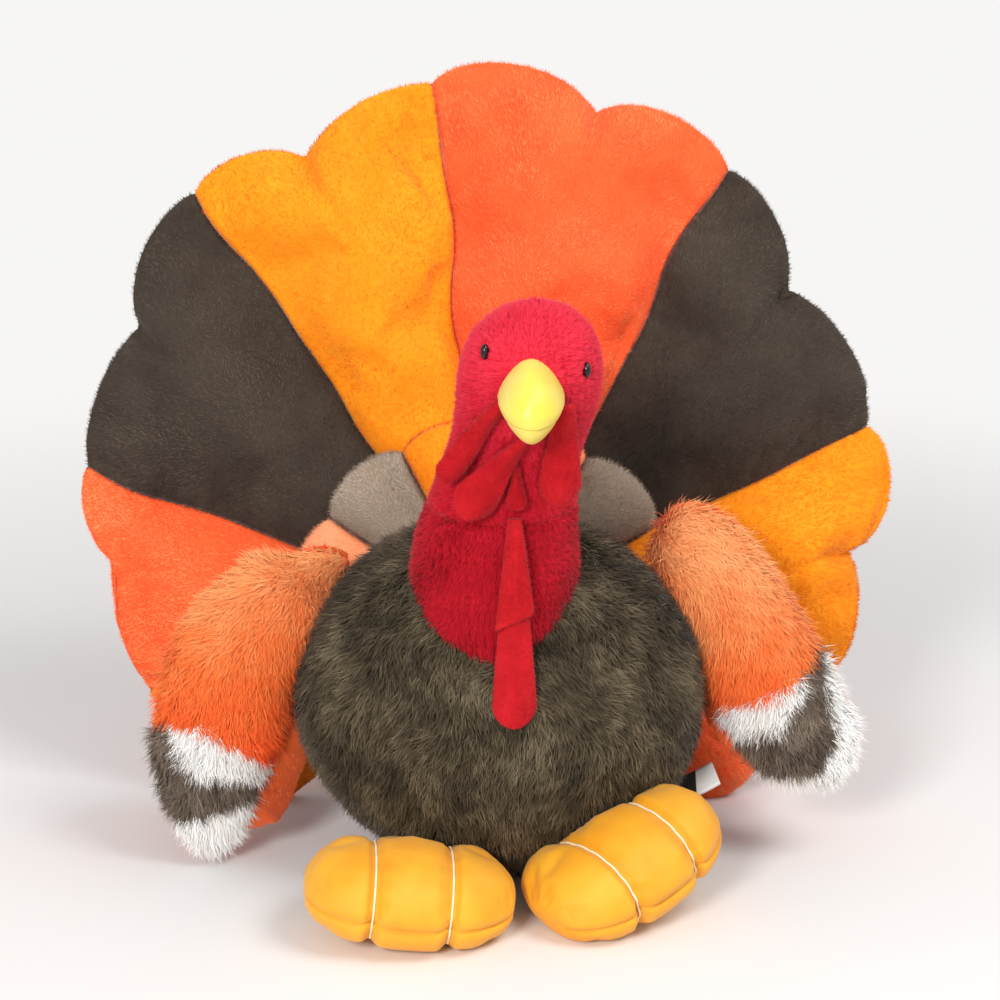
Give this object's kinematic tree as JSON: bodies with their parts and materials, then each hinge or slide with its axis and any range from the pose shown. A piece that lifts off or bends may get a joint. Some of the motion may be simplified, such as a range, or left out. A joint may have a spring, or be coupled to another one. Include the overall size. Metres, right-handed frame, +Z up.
{
  "type": "stuffed plush turkey",
  "caption": "Stuffed plush turkey with a scalloped fan tail, fur wings, a red head with felt wattles and padded yellow feet, standing on a flat weighted base.",
  "frame": {"origin": "middle of the flat base panel, on the table", "axes": "+Z up, -Y the way the turkey looks, +X to the right of someone facing it"},
  "size_m": [0.5074, 0.3415, 0.451],
  "materials": {
    "brown_fur": "long brown-grey pile, mottled",
    "base_felt": "matt felt",
    "pellet_bag": "plain woven bag of plastic pellets",
    "filling": "loose polyester fibre",
    "red_plush": "short red pile",
    "tag_satin": "blank white satin ribbon",
    "eye_black": "glossy dark bead",
    "beak_satin": "smooth yellow knit with a soft sheen",
    "red_felt": "matt red felt",
    "orange_plush": "short red-orange pile",
    "amber_plush": "short amber pile",
    "brown_plush": "short dark brown pile",
    "taupe_plush": "short taupe pile",
    "yellow_knit": "smooth yellow knit",
    "cream_thread": "cream sewing thread",
    "orange_fur": "long orange pile",
    "white_fur": "long white pile",
    "orange_lining": "short orange pile"
  },
  "bodies": {
    "body": {"body_fur_cover": "brown_fur", "base_panel": "base_felt", "pellet_bag": "pellet_bag", "body_filling": "filling", "neck_and_bib": "red_plush", "sewn_tag": "tag_satin"},
    "head": {"head_cover": "red_plush", "head_filling": "filling", "eye_left": "eye_black", "eye_right": "eye_black", "beak_upper": "beak_satin", "beak_lower": "beak_satin", "wattle_left": "red_felt", "wattle_left_fold": "red_felt", "wattle_right": "red_felt", "wattle_middle": "red_felt"},
    "snood": {"snood_lower": "red_felt", "snood_upper": "red_felt"},
    "tail": {"large_fan_panel_1": "orange_plush", "large_fan_panel_2": "amber_plush", "large_fan_panel_3": "brown_plush", "large_fan_panel_4": "orange_plush", "large_fan_panel_5": "amber_plush", "large_fan_panel_6": "brown_plush", "large_fan_panel_7": "orange_plush", "large_fan_panel_8": "amber_plush", "small_fan_panel_1": "amber_plush", "small_fan_panel_2": "taupe_plush", "small_fan_panel_3": "orange_plush", "small_fan_panel_4": "amber_plush", "small_fan_panel_5": "taupe_plush", "small_fan_panel_6": "orange_plush"},
    "wing_left": {"wing_left_fur": "orange_fur", "wing_left_white_band": "white_fur", "wing_left_brown_band": "brown_fur", "wing_left_tip_fur": "white_fur", "wing_left_lining": "orange_lining"},
    "wing_right": {"wing_right_fur": "orange_fur", "wing_right_white_band": "white_fur", "wing_right_brown_band": "brown_fur", "wing_right_tip_fur": "white_fur", "wing_right_lining": "orange_lining"},
    "foot_left": {"foot_left_upper": "yellow_knit", "foot_left_sole": "yellow_knit", "foot_left_thread_1": "cream_thread", "foot_left_thread_2": "cream_thread"},
    "foot_right": {"foot_right_upper": "yellow_knit", "foot_right_sole": "yellow_knit", "foot_right_thread_1": "cream_thread", "foot_right_thread_2": "cream_thread"}
  },
  "joints": [
    {"name": "head_turn", "type": "hinge", "parent": "body", "child": "head", "pos_m": [0.00077, -0.04945, 0.23199], "axis": [0, 0, 1], "range_deg": [-12, 12], "stiffness_Nm_per_rad": 0.2},
    {"name": "snood_swing", "type": "hinge", "parent": "head", "child": "snood", "pos_m": [0.008, -0.09427, 0.237], "axis": [-1, 0, 0], "range_deg": [0, 30]},
    {"name": "tail_tilt", "type": "hinge", "parent": "body", "child": "tail", "pos_m": [0, 0.09332, 0.04], "axis": [-1, 0, 0], "range_deg": [0, 10], "stiffness_Nm_per_rad": 1.5, "springref_deg": -11.46},
    {"name": "left_wing_lift", "type": "hinge", "parent": "body", "child": "wing_left", "pos_m": [-0.09639, 0.02249, 0.17442], "axis": [0, 1, 0], "range_deg": [0, 35]},
    {"name": "right_wing_lift", "type": "hinge", "parent": "body", "child": "wing_right", "pos_m": [0.09426, 0.02131, 0.18122], "axis": [0, -1, 0], "range_deg": [0, 35]},
    {"name": "left_foot_turn", "type": "hinge", "parent": "body", "child": "foot_left", "pos_m": [-0.057, -0.065, 0], "axis": [0, 0, -1], "range_deg": [-3, 12], "stiffness_Nm_per_rad": 0.2},
    {"name": "right_foot_turn", "type": "hinge", "parent": "body", "child": "foot_right", "pos_m": [0.049, -0.042, 0], "axis": [0, 0, 1], "range_deg": [-3, 12], "stiffness_Nm_per_rad": 0.2}
  ]
}
